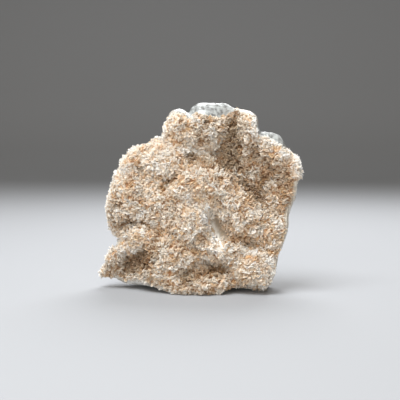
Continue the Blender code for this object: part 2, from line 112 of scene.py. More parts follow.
# %% The hollows of the front, with a depth last, and the lobes of the back
HOLLOWS = {
    "gully": (19.5, 98.0, 5.0, 12.0, -8, 5.2),
    "gully_foot": (13.0, 85.0, 12.0, 5.5, 12, 3.8),
    "pit": (-6.5, 82.0, 2.5, 3.0, 0, 4.5),
    "crease": (-18.0, 67.0, 3.5, 3.5, -40, 5.5),
    "crease_top": (-11.5, 74.5, 3.0, 5.5, -50, 2.5),
    "brow_pit": (-35.0, 75.5, 4.0, 3.0, 0, 2.5),
    "armpit": (-39.0, 40.0, 7.5, 3.0, 0, 3.0),
    "cave": (-33.0, 24.5, 3.5, 3.5, 0, 4.5),
    "cave_mouth": (-44.0, 17.5, 10.5, 4.5, 38, 5.0),
    "fold": (8.5, 14.5, 9.5, 5.0, 12, 4.0),
    "fold_left": (-7.5, 9.5, 4.0, 4.0, 0, 3.0),
    "fold_right": (28.0, 5.5, 10.5, 3.0, 0, 2.5),
    "bruise": (11.5, 39.0, 4.5, 9.0, 32, 2.4),
    "dimple": (31.5, 32.0, 7.0, 5.5, 0, 2.2),
    "ledge": (31.5, 60.0, 21.0, 2.7, -43, 5.0),
}
BACK_LOBES = {
    "back_sheet": (0.0, 50.0, 240.0, 240.0, 0, 9.0, 1.0),
    "heel": (-2.0, 6.0, 34.0, 16.0, 0, 21.0, 5.0),
    "heel_right": (36.0, 10.0, 12.0, 12.0, 10, 15.0, 5.0),
    "back_centre": (6.0, 48.0, 28.0, 22.0, 15, 19.0, 5.0),
    "back_left": (-34.0, 50.0, 18.0, 20.0, 0, 14.0, 4.0),
    "back_right": (42.0, 66.0, 14.0, 17.0, -10, 13.0, 4.0),
    "back_brow": (-26.0, 80.0, 18.0, 11.0, 20, 12.5, 3.5),
    "back_crown": (9.0, 97.0, 20.0, 14.0, 0, 13.0, 4.0),
}
print("front lobes:", len(LOBES), "hollows:", len(HOLLOWS), "back lobes:", len(BACK_LOBES))

# %% [markdown]
# ## Height as a formula
#
# Where two lobes of a grown crust meet they leave a soft crease. Adding them up would make a heap,
# and taking the higher one would leave a knife-sharp valley. A smooth maximum does neither: it is
# the logarithm of a sum of exponentials, and one number sets how soft the crease is. Numpy works
# the formula out for every corner of a mesh at once.

# %% Lobes, hollows and the height of the front
BLEND = 0.9  # softness of the crease where two lobes meet
RELIEF = 1.5  # how much prouder the lobes are than the sizes in the list
CRUST_THICK = 2.7  # from the plate's skin to the middle of the crystals


def squared_reach(x, z, oval):
    """How far points lie from an oval's middle, squared, where 1 is on the oval itself."""
    middle_x, middle_z, half_wide, half_tall, turn = oval[:5]
    angle = math.radians(turn)
    across, up = x - middle_x, z - middle_z
    along = (across * math.cos(angle) + up * math.sin(angle)) / half_wide
    aside = (up * math.cos(angle) - across * math.sin(angle)) / half_tall
    return along**2 + aside**2


def joined_lobes(x, z, lobes):
    total = np.zeros_like(x)
    for lobe in lobes.values():
        top, drop = lobe[5:]
        rise = top - drop * squared_reach(x, z, lobe)
        total += np.exp(np.maximum(rise / BLEND, -60.0))
    return BLEND * np.log(total)


def front_height(x, z):
    height = joined_lobes(x, z, LOBES)
    for hollow in HOLLOWS.values():
        height -= hollow[5] * np.exp(-squared_reach(x, z, hollow))
    return RELIEF * height - CRUST_THICK


print("height of the belly in mm:", np.round(front_height(np.array([-3.5]), np.array([5.5])), 1))

# %% The nearest rim to every point: its place, distance, inward way and kind
RIM_COVER = 2.6  # how far the crust stands out past the plate where it wraps the rim


def plate_corners():
    """The plate's own outline: the specimen's, drawn in where crystals wrap the edge."""
    points = [Vector((x, z)) for x, z, _ in OUTLINE]
    corners = []
    for i, point in enumerate(points):
        run = (points[(i + 1) % len(points)] - points[i - 1]).normalized()
        wrapped = (OUTLINE[i][2], OUTLINE[i - 1][2]).count(WRAPPED)
        corners.append(point + Vector((run.y, -run.x)) * RIM_COVER * wrapped / 2)
    return np.array([tuple(corner) for corner in corners])


def nearest_rim(points, corners, kinds):
    best = np.full(len(points), np.inf)
    place = np.zeros_like(points)
    inward = np.zeros_like(points)
    kind = np.zeros(len(points), dtype=int)
    for i, start in enumerate(corners):
        if OUTLINE[i][2] not in kinds:
            continue
        side = corners[(i + 1) % len(corners)] - start
        share = np.clip((points - start) @ side / (side @ side), 0.0, 1.0)
        found = start + share[:, None] * side
        distance = np.linalg.norm(points - found, axis=1)
        closer = distance < best
        best[closer] = distance[closer]
        place[closer] = found[closer]
        inward[closer] = np.array((side[1], -side[0])) / np.linalg.norm(side)
        kind[closer] = OUTLINE[i][2]
    return place, best, inward, kind


CORNERS = plate_corners()
print("plate width in mm:", round(float(np.ptp(CORNERS[:, 0])), 1))

# %% [markdown]
# ## The plate's fine skin
#
# The chalcedony is one waxy, rounded mass. A flat blank of the outline's shape is extruded, and a
# voxel Remesh covers it with one even net of small squares, without seams or poles. Each corner of
# the net is then moved: near the rim it is drawn onto the outline, and everywhere else it is pushed
# out to the height that the lobes give. Moving a net keeps it closed, which cutting and joining
# many blobs would not promise.

# %% An even blank
SKIN_STEP = 1.15  # side of one square of the skin
BLANK_DEPTH = 22.0


def even_blank(corners):
    bm = bmesh.new()
    front = bm.faces.new([bm.verts.new((x, -BLANK_DEPTH / 2, z)) for x, z in corners])
    pulled = bmesh.ops.extrude_face_region(bm, geom=[front])["geom"]
    moved = [item for item in pulled if isinstance(item, bmesh.types.BMVert)]
    bmesh.ops.translate(bm, verts=moved, vec=(0, BLANK_DEPTH, 0))
    bmesh.ops.recalc_face_normals(bm, faces=bm.faces)
    mesh = bpy.data.meshes.new("blank")
    bm.to_mesh(mesh)
    bm.free()
    blank = bpy.data.objects.new("blank", mesh)
    bpy.context.scene.collection.objects.link(blank)
    net = blank.modifiers.new("net", "REMESH")
    net.mode = "VOXEL"
    net.voxel_size = SKIN_STEP
    graph = bpy.context.evaluated_depsgraph_get()
    even = bpy.data.meshes.new_from_object(blank.evaluated_get(graph))
    bpy.data.objects.remove(blank)
    return even


skin = even_blank(CORNERS)
print("squares in the skin:", len(skin.polygons))

# %% Swell the blank into the lobes
PLATE_MID, PLATE_YAW = 4.0, -0.10  # depth of the middle surface at x = 0, and its slope
THINNEST = 1.8
RIM_ROUND, RIM_FRONT, RIM_BACK = 8.0, 0.42, 0.50
RIM_ROLL, BREAK_LEAN = 1.6, 4.0
SNAP = 0.8  # how near the rim a corner is drawn onto it, in squares of the skin


def coordinates(mesh):
    flat = np.empty(len(mesh.vertices) * 3)
    mesh.vertices.foreach_get("co", flat)
    return flat.reshape(-1, 3)


def swell(mesh):
    """Move the blank's corners. Gives back how far through each is, and its rim kind or -1."""
    co = coordinates(mesh)
    through = np.clip(co[:, 1] / np.abs(co[:, 1]).max(), -1.0, 1.0)
    flat = co[:, [0, 2]]
    place, distance, inward, kind = nearest_rim(flat, CORNERS, (WRAPPED, ROUNDED, BROKEN, RESTING))
    roll = np.where(kind == BROKEN, BREAK_LEAN * (1 - through) / 2, RIM_ROLL * through**2)
    roll[kind == RESTING] = 0.0
    on_rim = distance < SNAP * SKIN_STEP
    flat = np.where(on_rim[:, None], place + inward * roll[:, None], flat)
    margin = nearest_rim(flat, CORNERS, (WRAPPED, ROUNDED))[1]
    share = np.minimum(margin / RIM_ROUND, 1.0)
    dome = np.sqrt(1 - (1 - share) ** 2)
    x, z = flat.T
    front = np.maximum(front_height(x, z) * (RIM_FRONT + (1 - RIM_FRONT) * dome), THINNEST)
    back = joined_lobes(x, z, BACK_LOBES) * (RIM_BACK + (1 - RIM_BACK) * dome)
    half = np.where(through < 0, -front, back)
    moved = np.stack((x, PLATE_MID + PLATE_YAW * x + np.abs(through) * half, z), axis=1)
    mesh.vertices.foreach_set("co", moved.ravel())
    mesh.update()
    return through, np.where(on_rim, kind, -1)


THROUGH, RIM_KIND = swell(skin)
print("skin depth in mm:", round(float(np.ptp(coordinates(skin)[:, 1])), 1))

# %% [markdown]
# ## Grown skin and broken skin
#
# Chalcedony that grew free is smooth and botryoidal, which means knobbly like a bunch of grapes.
# Where the plate was broken off its wall it is hackly, with shallow facets and sharp little steps.
# Both could be left to a bump map, but a bump map doesn't change the outline. So the corners are
# first eased, and are then moved along their normals by two kinds of noise.

# %% Ease the corners, and keep the resting face flat
EASE_ROUNDS = 5
ALL_WAYS = {"use_axis_x": True, "use_axis_y": True, "use_axis_z": True}


def eased(mesh):
    bm = bmesh.new()
    bm.from_mesh(mesh)
    bm.verts.ensure_lookup_table()
    free = [v for v in bm.verts if RIM_KIND[v.index] != RESTING]
    for _ in range(EASE_ROUNDS):
        bmesh.ops.smooth_vert(bm, verts=free, factor=0.5, **ALL_WAYS)
    for v in bm.verts:
        v.co.z = max(v.co.z, 0.0)
    bm.normal_update()
    return bm


plate = eased(skin)
print("eased corners:", len(plate.verts))

# %% Where the skin is broken, from 0 to 1
FLAT = np.array([(v.co.x, v.co.z) for v in plate.verts])
BREAK_WIDE = 6.0  # how soon broken skin gives way to grown skin
BACK_FROM, BACK_RATE = 0.5, 4.0  # how far through the plate its broken back begins, and how fast


def broken_share():
    """1 on the back and the broken flank, 0 on the front and the rims that grew free."""
    break_rim = nearest_rim(FLAT, CORNERS, (BROKEN, RESTING))[1]
    on_wall = np.isin(RIM_KIND, (BROKEN, RESTING))
    near = np.clip(2 - 2 * break_rim / BREAK_WIDE, 0, 1)
    behind = np.clip((THROUGH - BACK_FROM) * BACK_RATE, 0, 1)
    return np.maximum.reduce((near, behind, on_wall.astype(float)))


BREAKS = broken_share()
print("broken share of the skin:", round(float(BREAKS.mean()), 2))

# %% Move the skin by the two kinds of noise
KNOB_WIDE, KNOB_TALL = 6.5, 0.55
GRAIN_WIDE, GRAIN_TALL = 2.2, 0.12
FACET_WIDE, FACET_TALL = 9.0, 1.1
CHIP_WIDE, CHIP_TALL = 2.8, 0.30
FOOT = 3.0  # the noise fades out this near the ground


def knobs(place):
    broad = 1 - abs(noise.noise(place / KNOB_WIDE)) * 2
    fine = noise.noise(place / GRAIN_WIDE)
    return KNOB_TALL * broad + GRAIN_TALL * fine


def facets(place):
    near, far = noise.voronoi(place / FACET_WIDE)[0][:2]
    small_near, small_far = noise.voronoi(place / CHIP_WIDE)[0][:2]
    return FACET_TALL * (near - far) + CHIP_TALL * (small_near - small_far) + FACET_TALL / 2


def roughen(bm):
    for v in bm.verts:
        if RIM_KIND[v.index] == RESTING:
            continue
        share = BREAKS[v.index]
        lift = (1 - share) * knobs(v.co) + share * facets(v.co)
        if v.co.z < FOOT:
            lift *= v.co.z / FOOT
        v.co += v.normal * lift
        v.co.z = max(v.co.z, 0.0)
    bm.normal_update()


roughen(plate)
print("height of the plate in mm:", round(max(v.co.z for v in plate.verts), 1))

# %% A helper that turns a bmesh into a finished piece of the specimen
def finish_piece(bm, name, node):
    """Place the mesh in the frame, in metres, and let it stand for its CAD node."""
    bmesh.ops.translate(bm, verts=bm.verts, vec=PART_SHIFT)
    bmesh.ops.scale(bm, vec=(MM, MM, MM), verts=bm.verts)
    mesh = bpy.data.meshes.new(name)
    bm.to_mesh(mesh)
    bm.free()
    return dress(mesh, name, node)


def dress(mesh, name, node):
    piece = bpy.data.objects.new(name, mesh)
    bpy.context.scene.collection.objects.link(piece)
    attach(piece, "root")
    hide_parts(node)
    print(name, "faces:", len(mesh.polygons))
    return piece


# %% [markdown]
# ## The bed of joined roots
#
# Between the blades you never see bare stone, only more stilbite: the roots have grown into one
# another. A shell on the plate's skin stands for them. It is cut from the covered part of the skin,
# so it follows every lobe, and it thins to nothing at its margins, where single small crystals
# give way to bare chalcedony.

# %% Where crystals cover the skin, as a distance in from the crust's margin
BARE_PATCHES = {
    "crown": (7.5, 113.5, 13.5, 8.0, 0),
    "crown_cap": (-13.0, 111.5, 7.5, 4.5, 0),
    "shoulder": (45.5, 96.5, 11.0, 5.5, -32),
    "bruise": (12.0, 40.0, 2.4, 9.0, 27),
    "white_ridge": (9.6, 36.0, 1.3, 8.0, 23),
    "cloud": (11.6, 26.5, 1.5, 1.3, 0),
    "toe": (-37.5, 2.0, 6.0, 3.2, -12),
}
RIM_BARE, BREAK_BARE = 1.9, 3.6  # how far the crust stops short of a rounded and a broken rim
WRAP_TO, WRAP_DEEP = 0.35, 8.0  # how far round a wrapped rim it goes, and that rim's half depth
MARGIN_WANDER, MARGIN_WIDE = 1.0, 4.0  # how far the margin wanders, and over what length


def cover_reach():
    reach = (WRAP_TO - THROUGH) * WRAP_DEEP
    reach = np.minimum(reach, nearest_rim(FLAT, CORNERS, (ROUNDED,))[1] - RIM_BARE)
    reach = np.minimum(reach, nearest_rim(FLAT, CORNERS, (BROKEN,))[1] - BREAK_BARE)
    for patch in BARE_PATCHES.values():
        away = np.sqrt(squared_reach(FLAT[:, 0], FLAT[:, 1], patch)) - 1
        reach = np.minimum(reach, away * min(patch[2:4]))
    reach[RIM_KIND == RESTING] = -1.0
    wander = np.array([noise.noise(v.co / MARGIN_WIDE) for v in plate.verts])
    return reach + MARGIN_WANDER * wander


COVER = cover_reach()
print("covered corners:", int((COVER > 0).sum()))

# %% Cut the bed from the skin, and give it its thickness
BED_TALL = 1.25
BED_SINK = 0.5  # how far the bed's underside lies below the plate's skin
BED_TAPER = 1.6  # width over which the bed thins out at its margin
ROOT_WIDE, ROOT_TALL = 1.3, 0.35  # the lumps that the roots make
CLUMP_WIDE, CLUMP_TALL = 6.2, 1.7  # the rounded clumps that neighbouring sheaves make
CLUMP_EDGE = 0.6  # how far from its middle a clump's dome ends, as a share of CLUMP_WIDE
MARGIN_RISE = 0.6  # how far the bed's outer skin comes back at its margin, as a share of the sink
BED_LOWEST = 0.05
OLD_WAY = 0.3  # how much of the plate's way out is kept in the bed's own


def clump(place):
    """A dome in each cell of a random net, from -0.5 in the creases to 0.5 on top."""
    nearest = noise.voronoi(place / CLUMP_WIDE)[0][0]
    return 0.5 - min((nearest / CLUMP_EDGE) ** 2, 1.0)


def crystal_bed(plate_mesh):
    bed = plate_mesh.copy()
    bed.verts.ensure_lookup_table()
    height = bed.verts.layers.float.new("height")
    out = bed.verts.layers.float_vector.new("out")
    for v in bed.verts:
        share = min(max(COVER[v.index] / BED_TAPER, 0.0), 1.0)
        v[height] = share * share * (3 - 2 * share)
        v[out] = v.normal
    away = [f for f in bed.faces if max(COVER[v.index] for v in f.verts) < 0]
    bmesh.ops.delete(bed, geom=away, context="FACES")
    for v in bed.verts:
        v.co -= v[out] * BED_SINK
    pulled = bmesh.ops.extrude_face_region(bed, geom=bed.faces[:])["geom"]
    for v in (item for item in pulled if isinstance(item, bmesh.types.BMVert)):
        lumps = CLUMP_TALL * clump(v.co) + ROOT_TALL * noise.noise(v.co / ROOT_WIDE)
        v.co += v[out] * (BED_SINK * MARGIN_RISE + v[height] * (BED_TALL + lumps))
        v.co.z = max(v.co.z, BED_LOWEST)
    bmesh.ops.recalc_face_normals(bed, faces=bed.faces)
    bed.normal_update()
    for v in bed.verts:
        if v.normal.dot(v[out]) > OLD_WAY:
            v[out] = (v.normal + v[out] * OLD_WAY).normalized()
    return bed


bed = crystal_bed(plate)
print("bed faces:", len(bed.faces))

# %% [markdown]
# ## The blades
#
# Stilbite grows as thin laths with a chisel or a pointed end, and several laths share one root and
# fan out like a sheaf of wheat. There are tens of thousands of them here, so one lath has to be
# cheap. A particle system would do it on screen, but particles are lost when a model is exported.
# So two small prototypes are made with mesh operators, and numpy copies them into joined meshes.

# %% Two prototypes: a lath one unit wide, thick and long, standing on its root
ROOT_NARROW = 0.72  # width at the root, as a share of the width at the shoulder
SHOULDER = 0.72  # where the end starts to taper, as a share of the length


def blade_prototype(end_width, end_thickness):
    bm = bmesh.new()
    bmesh.ops.create_cube(bm, size=1.0)
    for v in bm.verts:
        top = v.co.z > 0
        v.co.z = SHOULDER if top else 0.0
        v.co.x *= 1.0 if top else ROOT_NARROW
    cap = max(bm.faces, key=lambda f: f.calc_center_median().z)
    raised = bmesh.ops.extrude_discrete_faces(bm, faces=[cap])["faces"][0]
    ends = raised.verts[:]
    bmesh.ops.translate(bm, verts=ends, vec=(0, 0, 1 - SHOULDER))
    bmesh.ops.scale(bm, verts=ends, vec=(end_width, end_thickness, 1))
    bmesh.ops.remove_doubles(bm, verts=bm.verts, dist=1e-4)
    bmesh.ops.triangulate(bm, faces=bm.faces)
    bmesh.ops.recalc_face_normals(bm, faces=bm.faces)
    corners = np.array([tuple(v.co) for v in bm.verts])
    sides = np.array([[v.index for v in f.verts] for f in bm.faces])
    closed = all(e.is_manifold for e in bm.edges)
    bm.free()
    print("prototype: corners", len(corners), "triangles", len(sides), "closed", closed)
    return corners, sides


CHISEL = blade_prototype(0.45, 0.0)
POINTED = blade_prototype(0.0, 0.0)

# %% Where sheaves can root: the bed's outer triangles, with their place, way out and height
FACING = 0.2  # how squarely a triangle has to face out
LEAST_BED = 0.3  # least height of the bed, summed over a triangle's corners


def rooting_ground(bm):
    height = bm.verts.layers.float["height"]
    out = bm.verts.layers.float_vector["out"]
    spots = []
    for corners in bm.calc_loop_triangles():
        v1, v2, v3 = (loop.vert for loop in corners)
        if corners[0].face.normal.dot(v1[out]) < FACING:
            continue
        if v1[height] + v2[height] + v3[height] < LEAST_BED:
            continue
        spots.append([(*v.co, *v[out], v[height]) for v in (v1, v2, v3)])
    return np.array(spots)


GROUND = rooting_ground(bed)
FIRST, SECOND, THIRD = (GROUND[:, i, :3] for i in range(3))
AREAS = np.linalg.norm(np.cross(SECOND - FIRST, THIRD - FIRST), axis=1) / 2
print("rooting ground in square mm:", round(float(AREAS.sum())))

# %% Choose roots that keep their distance from one another
SHEAF_SPACE = 1.5  # least distance between two sheaves
SHEAF_TRIES = 30000
chance = np.random.default_rng(5)


def unit(vectors):
    return vectors / np.linalg.norm(vectors, axis=1, keepdims=True)


def scattered(count, least):
    """Points on the ground: place, way out and height of the bed, none nearer than least."""
    picked = chance.choice(len(GROUND), size=count, p=AREAS / AREAS.sum())
    shares = chance.dirichlet((1, 1, 1), size=count)
    points = np.einsum("nc,ncd->nd", shares, GROUND[picked])
    kept = []
    cells = {}
    for i, place in enumerate(points[:, :3]):
        cell = tuple(np.floor(place / least).astype(int))
        near = [
            j
            for dx in (-1, 0, 1)
            for dy in (-1, 0, 1)
            for dz in (-1, 0, 1)
            for j in cells.get((cell[0] + dx, cell[1] + dy, cell[2] + dz), ())
        ]
        if all(((points[j, :3] - place) ** 2).sum() > least**2 for j in near):
            cells.setdefault(cell, []).append(i)
            kept.append(i)
    return points[kept]


SHEAVES = scattered(SHEAF_TRIES, SHEAF_SPACE)
TO_RIM = nearest_rim(SHEAVES[:, [0, 2]], CORNERS, (WRAPPED, ROUNDED, BROKEN, RESTING))[1]
print("sheaves:", len(SHEAVES))

# %% [markdown]
# ## Tone
#
# The crust isn't one colour, and light and shade are painted into it as well. Its hollows, creases
# and the undersides of its lobes are painted darker, as painted shade, and its bulges, lit faces and
# edge paler, as painted light and painted rim light. Named ovals say where it is darker or paler,
# slow noise wanders between them, and each blade adds a tint of its own. The results are stored on
# the mesh as attributes, which the material reads. A tone of 0 is dark, 1 is even and 2 is pale.

# %% Named areas of painted shade and light: x, z, half width, half height, turn, change of tone, warmth
# Dark areas are painted shade in hollows, creases and under lobes; pale ones are painted light.
SHADE_LIGHT_AND_TONE_AREAS = {
    "hollow_right": (42.0, 69.0, 20.0, 14.0, -30, -0.42, 0.25),
    "hollow_low": (51.0, 57.0, 7.0, 9.0, -20, 0.25, 0.20),
    "gully": (20.5, 96.0, 6.0, 17.0, -8, -1.05, -0.20),
    "band": (10.0, 83.0, 17.0, 5.0, 4, -0.40, -0.10),
    "band_low": (14.0, 77.5, 21.0, 3.5, -6, -1.00, 0.10),
    "ledge": (31.0, 60.0, 22.0, 2.5, -43, -1.55, 0.05),
    "ledge_top": (25.0, 68.0, 9.0, 4.0, -36, 0.10, 0.00),
    "pit": (-5.5, 81.5, 4.0, 4.5, 0, -1.45, -0.40),
    "crease": (-17.5, 67.5, 3.5, 4.5, -40, -1.80, 0.50),
    "crease_tail": (-25.5, 70.5, 4.5, 2.0, -15, 0.20, 0.50),
    "crease_left": (-36.0, 65.0, 9.0, 3.0, -25, 0.20, 0.00),
    "cave": (-38.5, 17.0, 13.0, 5.5, 28, -1.50, 0.10),
    "pocket": (-33.0, 24.5, 4.0, 3.5, 0, -1.00, 0.00),
    "armpit": (-42.0, 40.0, 9.0, 3.5, 0, -1.00, 0.20),
    "fold": (9.0, 12.5, 13.0, 3.5, 3, -1.20, 0.20),
    "fold_left": (-7.5, 9.5, 4.5, 5.0, 0, -1.10, -0.15),
    "waist": (30.0, 29.5, 17.0, 2.6, -20, -0.65, 0.15),
    "eye": (-25.0, 36.5, 3.5, 3.0, 0, -0.80, 0.60),
    "crown_pit": (3.0, 101.5, 3.0, 3.5, 0, -1.80, 0.30),
    "crown_foot": (0.0, 92.0, 4.5, 3.5, 0, -0.45, 0.00),
    "lobe_pit": (-49.5, 54.0, 3.5, 3.0, 0, -1.05, 0.30),
    "lobe_dent": (-43.0, 65.0, 4.0, 3.0, 20, -0.10, -0.10),
    "brow_pit": (-35.5, 75.0, 4.0, 3.0, 0, -0.15, 0.00),
    "left_flank": (-54.0, 47.0, 6.0, 14.0, 0, -0.05, -0.30),
    "middle": (-6.0, 61.5, 10.0, 8.0, 0, 0.75, 0.15),
    "middle_low": (-14.5, 49.0, 6.5, 7.0, 0, -0.45, 0.10),
    "centre_foot": (27.0, 39.5, 7.0, 5.0, 0, 0.60, 0.10),
    "heart": (1.0, 49.5, 8.0, 9.5, 0, 1.40, 0.10),
    "belly": (-14.0, 22.0, 17.0, 14.0, 0, 0.00, 0.05),
    "brow": (-18.0, 80.0, 12.0, 7.0, 8, 0.55, 0.00),
    "far_brow": (-43.0, 79.0, 7.0, 7.0, 40, 0.20, -0.10),
    "ridge": (-39.0, 33.0, 8.0, 4.5, 25, 1.50, 0.50),
    "brow_foot": (-21.5, 73.5, 7.0, 3.0, -10, 0.60, 0.30),
    "upper_right": (38.0, 83.0, 9.0, 5.0, -35, -0.30, 0.10),
    "left_low": (-43.0, 44.5, 13.0, 7.0, 0, -0.15, 0.00),
    "far_low": (-46.0, 71.0, 5.0, 6.0, 0, 0.35, -0.40),
    "tip_top": (-45.0, 26.0, 7.0, 4.5, 20, 0.70, 0.20),
    "crown_low": (-9.0, 95.0, 6.0, 6.0, 0, 0.45, 0.00),
    "shoulder_top": (42.0, 92.0, 8.0, 4.0, -30, 1.00, -0.60),
    "crown_left": (-14.0, 106.0, 8.0, 7.0, 0, 0.10, -0.20),
    "saddle_patch": (12.0, 27.0, 4.5, 4.5, 10, 0.65, -0.40),
    "bruise_lip": (6.5, 36.5, 3.0, 9.0, 24, 2.00, -0.10),
    "toe": (-38.0, 4.0, 10.0, 3.0, 0, 1.50, -1.30),
    "lower_right": (37.0, 18.0, 14.0, 9.0, 0, 0.95, 0.00),
    "right_rim": (49.0, 34.0, 5.0, 9.0, 0, 1.50, 0.40),
    "tip_edge": (-59.0, 15.0, 4.0, 10.0, -33, -0.35, -1.20),
    "cheek": (60.0, 76.0, 3.5, 12.0, 0, 1.30, -0.20),
    "shoulder_edge": (51.5, 81.5, 6.0, 4.0, -45, 1.20, 0.10),
    "crown_right": (33.0, 103.0, 3.0, 9.0, -10, 0.95, -1.60),
}
print("named areas:", len(SHADE_LIGHT_AND_TONE_AREAS))

# %% The tone and the warmth of any place on the crust, painted shade and light included
EVEN_TONE, EVEN_WARMTH = 0.93, 0.20
RIM_LIGHT_WIDE, RIM_LIGHT_TONE, RIM_LIGHT_WARMTH = 3.2, 0.9, -0.8  # painted rim light: how wide the pale, cooler edge is, and its changes
AREA_FADE = 1.2  # how soon an area's change fades out from its middle
# Noise that changes the tone and the warmth: width in mm, shift, change of tone, change of warmth
WANDERS = {
    "wander": (9.0, 0, 0.32, 0.0),
    "patches": (4.5, 0, 0.15, -0.6),
    "stain": (6.0, 50, 0.0, 0.25),
    "rust": (2.8, 90, 0.0, 0.9),
}
DOME_PAINTED_LIGHT, DOME_PAINTED_WARM_SHADE = 0.30, -0.6  # painted light on the tops of the clumps, painted warm shade in their creases


def edge_share(places):
    """1 at the specimen's own edge, falling to 0 a little way in."""
    flat = places[:, [0, 2]]
    place, _, inward, kind = nearest_rim(flat, CORNERS, (WRAPPED, ROUNDED))
    inside = ((flat - place) * inward).sum(axis=1) + RIM_COVER * (kind == WRAPPED)
    return np.clip(1 - inside / RIM_LIGHT_WIDE, 0, 1)


def tones_at(places):
    """The tone and the warmth of the crust at these places, painted shade and light included."""
    edge = edge_share(places)
    tone = EVEN_TONE + RIM_LIGHT_TONE * edge
    warmth = EVEN_WARMTH + RIM_LIGHT_WARMTH * edge
    for area in SHADE_LIGHT_AND_TONE_AREAS.values():
        share = np.exp(-AREA_FADE * squared_reach(places[:, 0], places[:, 2], area))
        tone += area[5] * share
        warmth += area[6] * share
    spots = [Vector(place) for place in places]
    for wide, shift, paler, warmer in WANDERS.values():
        away = Vector((shift, 0, 0))
        waves = np.array([noise.noise(spot / wide + away) for spot in spots])
        tone += paler * waves
        warmth += warmer * waves
    domes = np.array([clump(spot) for spot in spots])
    return tone + DOME_PAINTED_LIGHT * domes, warmth + DOME_PAINTED_WARM_SHADE * domes


SHEAF_TONES, SHEAF_WARMTH = tones_at(SHEAVES[:, :3])
print("tone from", round(float(SHEAF_TONES.min()), 2), "to", round(float(SHEAF_TONES.max()), 2))

# %% Fan each sheaf's blades out from its root
BLADES_A_SHEAF = 8
FORWARD = np.array((0.0, -0.22, 0.0))  # the crust's front gets the light, and grew that way
SHEAF_LEAN = 0.42  # how far sheaves lean at random from square, as a slope
FAN = math.radians(34)  # half the angle that a sheaf opens to
ROOT_SPREAD = 0.45  # distance between the roots of a sheaf's outer blades and its middle
ROOT_STRAY, FAN_STRAY, TWIST = 0.35, 0.18, 0.35  # how unevenly a sheaf's blades are set
SKEWS = (0.05, 0.35)  # how far a sheaf's blades stray out of its plane, from neat to ragged
LENGTHS, WIDTHS, THICKS = (1.6, 3.4), (1.0, 1.8), (0.36, 0.66)
ROOTED = 0.8  # length of a blade that is lost in the bed
SHEAF_SIZES = (0.8, 1.15)
MARGIN_SIZE = 0.45  # size of the blades where the bed thins out to nothing
RIM_SIZE, RIM_REACH = 0.50, 7.0  # share of its size that a blade has at the rim, and where it is full
TINT_SPREAD = 0.22
GLINTING, GLINT_TINT = 0.02, 0.4  # painted glints: a few blades are painted paler than their neighbours
POINTED_SHARE = 0.45


def fan_out(sheaves, tones, warmth):
    """For each blade: root, long axis, wide axis, length, width, thickness and colour marks."""
    count = len(sheaves)
    axis = unit(sheaves[:, 3:6] + FORWARD + chance.normal(0, SHEAF_LEAN, (count, 3)))
    across = unit(np.cross(axis, chance.normal(0, 1, (count, 3))))
    flat = np.cross(axis, across)
    share = np.linspace(-1, 1, BLADES_A_SHEAF)
    share = share + chance.normal(0, FAN_STRAY, (count, BLADES_A_SHEAF))
    angle = (share * FAN)[..., None]
    skew = (chance.normal(0, 1, share.shape) * chance.uniform(*SKEWS, (count, 1)))[..., None]
    along = axis[:, None] * np.cos(angle) + across[:, None] * np.sin(angle) + flat[:, None] * skew
    along = unit(along.reshape(-1, 3))
    wide = across[:, None] * np.cos(angle) - axis[:, None] * np.sin(angle)
    twist = chance.normal(0, TWIST, share.shape)[..., None]
    wide = (wide + flat[:, None] * twist).reshape(-1, 3)
    wide = unit(wide - along * (wide * along).sum(axis=1, keepdims=True))
    aside = across[:, None] * (share[..., None] * ROOT_SPREAD)
    aside = aside + flat[:, None] * chance.normal(0, ROOT_STRAY, share.shape)[..., None]
    root = (sheaves[:, None, :3] + aside).reshape(-1, 3) - along * ROOTED
    size = MARGIN_SIZE + (1 - MARGIN_SIZE) * np.clip(sheaves[:, 6], 0, 1)
    size *= chance.uniform(*SHEAF_SIZES, count)
    size *= RIM_SIZE + (1 - RIM_SIZE) * np.clip(TO_RIM / RIM_REACH, 0, 1)
    size = np.repeat(size, BLADES_A_SHEAF)
    total = len(root)
    return {
        "root": root,
        "along": along,
        "wide": wide,
        "length": chance.uniform(*LENGTHS, total) * size + ROOTED,
        "width": chance.uniform(*WIDTHS, total) * size,
        "thick": chance.uniform(*THICKS, total) * size,
        "tone": np.repeat(tones, BLADES_A_SHEAF),
        "warmth": np.repeat(warmth, BLADES_A_SHEAF),
        "tint": np.clip(chance.normal(0.5, TINT_SPREAD, total), 0, 1)
        + GLINT_TINT * (chance.random(total) < GLINTING),
        "pointed": chance.random(total) < POINTED_SHARE,
    }


BLADES = fan_out(SHEAVES, SHEAF_TONES, SHEAF_WARMTH)
print("blades:", len(BLADES["root"]))

# %% Copy the prototypes into joined meshes, one for each part of the face
BLADE_LOWEST = 0.02
MARKS = ("tone", "warmth", "tint")
CROWN_FROM, LEFT_TO, RIGHT_FROM, CENTRE_SPLIT = 86, -20, 24, 42  # the five parts, in mm


